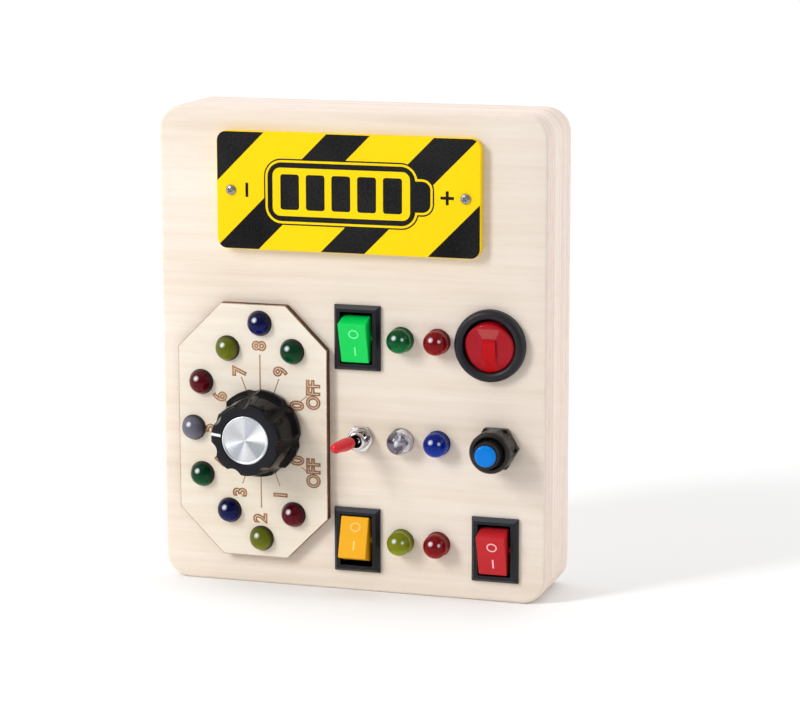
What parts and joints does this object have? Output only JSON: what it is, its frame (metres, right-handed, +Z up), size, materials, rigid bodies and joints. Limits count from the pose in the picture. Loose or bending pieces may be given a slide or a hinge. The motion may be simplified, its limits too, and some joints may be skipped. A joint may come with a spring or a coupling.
{
  "type": "wooden busy board",
  "caption": "Upright wooden busy board with lamps, a rotary selector on a cut dial plate, rocker switches, a toggle, a push button, a striped sign plate and a battery bay in the back.",
  "frame": {"origin": "middle of the box's lower face, on the surface that the board stands on; the box is centred front to back on y = 0", "axes": "+X to the right as the player sees the board, -Y out of the front panel, +Y out of the back, +Z up"},
  "size_m": [0.13, 0.0481, 0.157],
  "materials": {
    "front_ply": "satin",
    "edge_ply": "satin",
    "dial_ply": "satin",
    "sign_print": "satin",
    "screw_steel": "satin",
    "chrome": "polished",
    "brass": "satin",
    "spring_steel": "satin",
    "knob_black": "gloss",
    "spun_aluminium": "brushed",
    "pointer_white": "gloss",
    "switch_black": "satin",
    "rocker_green": "gloss",
    "rocker_yellow": "gloss",
    "rocker_red": "gloss",
    "lens_red": "gloss",
    "toggle_blue": "satin",
    "sleeve_red": "satin",
    "cap_blue": "gloss",
    "lamp_red": "polished",
    "lamp_green": "polished",
    "lamp_blue": "polished",
    "lamp_yellow": "polished",
    "lamp_clear": "polished",
    "bay_black": "textured",
    "cell_wrap": "satin"
  },
  "bodies": {
    "case": {"front_panel": "front_ply", "front_frame_ring": "edge_ply", "rear_frame_ring": "edge_ply", "back_panel": "front_ply", "back_screws": "screw_steel", "sign_plate": "sign_print", "sign_screws": "screw_steel", "dial_plate": "dial_ply", "rotary_body": "switch_black", "rotary_nut": "chrome", "rotary_terminals": "brass", "green_switch_housing": "switch_black", "green_switch_terminals": "brass", "yellow_switch_housing": "switch_black", "yellow_switch_terminals": "brass", "red_switch_housing": "switch_black", "red_switch_terminals": "brass", "round_switch_housing": "switch_black", "round_switch_terminals": "brass", "toggle_body": "toggle_blue", "toggle_bushing": "chrome", "toggle_nut": "chrome", "toggle_terminals": "brass", "button_housing": "switch_black", "button_nut": "switch_black", "button_spring": "spring_steel", "button_terminals": "brass", "red_lamps": "lamp_red", "green_lamps": "lamp_green", "blue_lamps": "lamp_blue", "yellow_lamps": "lamp_yellow", "clear_lamps": "lamp_clear", "lamp_leads": "screw_steel", "battery_tray": "bay_black", "battery_cells": "cell_wrap", "battery_springs": "spring_steel", "battery_contacts": "screw_steel", "battery_cover": "bay_black", "battery_cover_screw": "screw_steel"},
    "selector": {"knob": "knob_black", "knob_disc": "spun_aluminium", "knob_pointer": "pointer_white", "knob_set_screw": "screw_steel", "rotary_shaft": "spun_aluminium"},
    "green_key": {"green_rocker": "rocker_green"},
    "yellow_key": {"yellow_rocker": "rocker_yellow"},
    "red_key": {"red_rocker": "rocker_red"},
    "round_key": {"round_rocker": "lens_red"},
    "lever": {"toggle_lever": "chrome", "toggle_sleeve": "sleeve_red"},
    "button": {"button_plunger": "switch_black", "button_cap": "cap_blue"}
  },
  "joints": [
    {"name": "knob_turn", "type": "hinge", "parent": "case", "child": "selector", "pos_m": [-0.03, -0.015, 0.0517], "axis": [0, -1, 0], "range_deg": [-150, 150]},
    {"name": "green_rock", "type": "hinge", "parent": "case", "child": "green_key", "pos_m": [0.0025, -0.014, 0.084], "axis": [-1, 0, 0], "range_deg": [0, 33]},
    {"name": "yellow_rock", "type": "hinge", "parent": "case", "child": "yellow_key", "pos_m": [0.0022, -0.014, 0.0173], "axis": [1, 0, 0], "range_deg": [0, 33]},
    {"name": "red_rock", "type": "hinge", "parent": "case", "child": "red_key", "pos_m": [0.0486, -0.014, 0.0173], "axis": [-1, 0, 0], "range_deg": [0, 33]},
    {"name": "round_rock", "type": "hinge", "parent": "case", "child": "round_key", "pos_m": [0.0468, -0.0138, 0.0838], "axis": [-1, 0, 0], "range_deg": [0, 20]},
    {"name": "toggle_flip", "type": "hinge", "parent": "case", "child": "lever", "pos_m": [0.0034, -0.0175, 0.0509], "axis": [0, 0, 1], "range_deg": [0, 25]},
    {"name": "button_push", "type": "slide", "parent": "case", "child": "button", "axis": [0, 1, 0], "range_m": [0, 0.0025], "stiffness_N_per_m": 400, "springref_m": -0.001, "deforming": ["button_spring"]}
  ]
}
